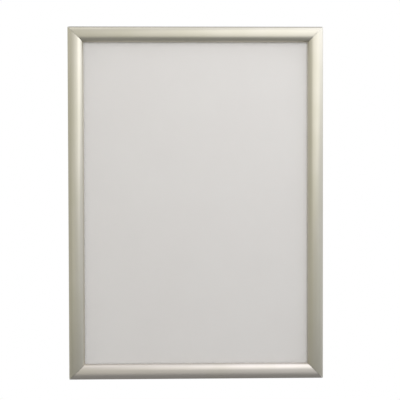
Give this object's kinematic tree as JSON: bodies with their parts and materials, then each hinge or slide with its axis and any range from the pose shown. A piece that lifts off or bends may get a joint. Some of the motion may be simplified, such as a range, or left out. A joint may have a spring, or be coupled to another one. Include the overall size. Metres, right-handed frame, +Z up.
{
  "type": "poster frame",
  "caption": "Silver aluminium snap frame for a poster: mitred base rails, spring-loaded arched lids that flip open, a backing panel, a blank insert and a matte cover sheet.",
  "frame": {"origin": "centre of the frame on the plane of the wall that it hangs on", "axes": "+X to the right seen from the front, +Z up in portrait, +Y into the wall; the front faces -Y"},
  "size_m": [0.321, 0.0105, 0.444],
  "materials": {
    "lid_aluminium": "satin anodised silver",
    "rail_aluminium": "mill finish, anodised",
    "zinc_steel": "zinc plated",
    "black_steel": "black oxide",
    "panel_board": "white styrene board",
    "blank_paper": "uncoated, blank",
    "cover_film": "clear, matte on its front"
  },
  "bodies": {
    "base": {"base_rail_bottom": "rail_aluminium", "base_rail_left": "rail_aluminium", "base_rail_top": "rail_aluminium", "base_rail_right": "rail_aluminium", "corner_key_bottom_left": "zinc_steel", "corner_key_top_left": "zinc_steel", "corner_key_top_right": "zinc_steel", "corner_key_bottom_right": "zinc_steel", "grub_screw_bottom_left_1": "black_steel", "grub_screw_bottom_left_2": "black_steel", "grub_screw_top_left_1": "black_steel", "grub_screw_top_left_2": "black_steel", "grub_screw_top_right_1": "black_steel", "grub_screw_top_right_2": "black_steel", "grub_screw_bottom_right_1": "black_steel", "grub_screw_bottom_right_2": "black_steel", "leaf_spring_bottom_1": "zinc_steel", "leaf_spring_bottom_2": "zinc_steel", "leaf_spring_left_1": "zinc_steel", "leaf_spring_left_2": "zinc_steel", "leaf_spring_top_1": "zinc_steel", "leaf_spring_top_2": "zinc_steel", "leaf_spring_right_1": "zinc_steel", "leaf_spring_right_2": "zinc_steel", "backing_panel": "panel_board", "poster_insert": "blank_paper", "cover_sheet": "cover_film"},
    "bottom_lid": {"snap_lid_bottom": "lid_aluminium"},
    "left_lid": {"snap_lid_left": "lid_aluminium"},
    "top_lid": {"snap_lid_top": "lid_aluminium"},
    "right_lid": {"snap_lid_right": "lid_aluminium"}
  },
  "joints": [
    {"name": "bottom_lid_hinge", "type": "hinge", "parent": "base", "child": "bottom_lid", "pos_m": [0, -0.0028, -0.21991], "axis": [1, 0, 0], "range_deg": [0, 90], "deforming": ["leaf_spring_bottom_1", "leaf_spring_bottom_2"]},
    {"name": "left_lid_hinge", "type": "hinge", "parent": "base", "child": "left_lid", "pos_m": [-0.15841, -0.0028, 0], "axis": [0, 0, -1], "range_deg": [0, 90], "deforming": ["leaf_spring_left_1", "leaf_spring_left_2"]},
    {"name": "top_lid_hinge", "type": "hinge", "parent": "base", "child": "top_lid", "pos_m": [0, -0.0028, 0.21991], "axis": [-1, 0, 0], "range_deg": [0, 90], "deforming": ["leaf_spring_top_1", "leaf_spring_top_2"]},
    {"name": "right_lid_hinge", "type": "hinge", "parent": "base", "child": "right_lid", "pos_m": [0.15841, -0.0028, 0], "axis": [0, 0, 1], "range_deg": [0, 90], "deforming": ["leaf_spring_right_1", "leaf_spring_right_2"]}
  ]
}
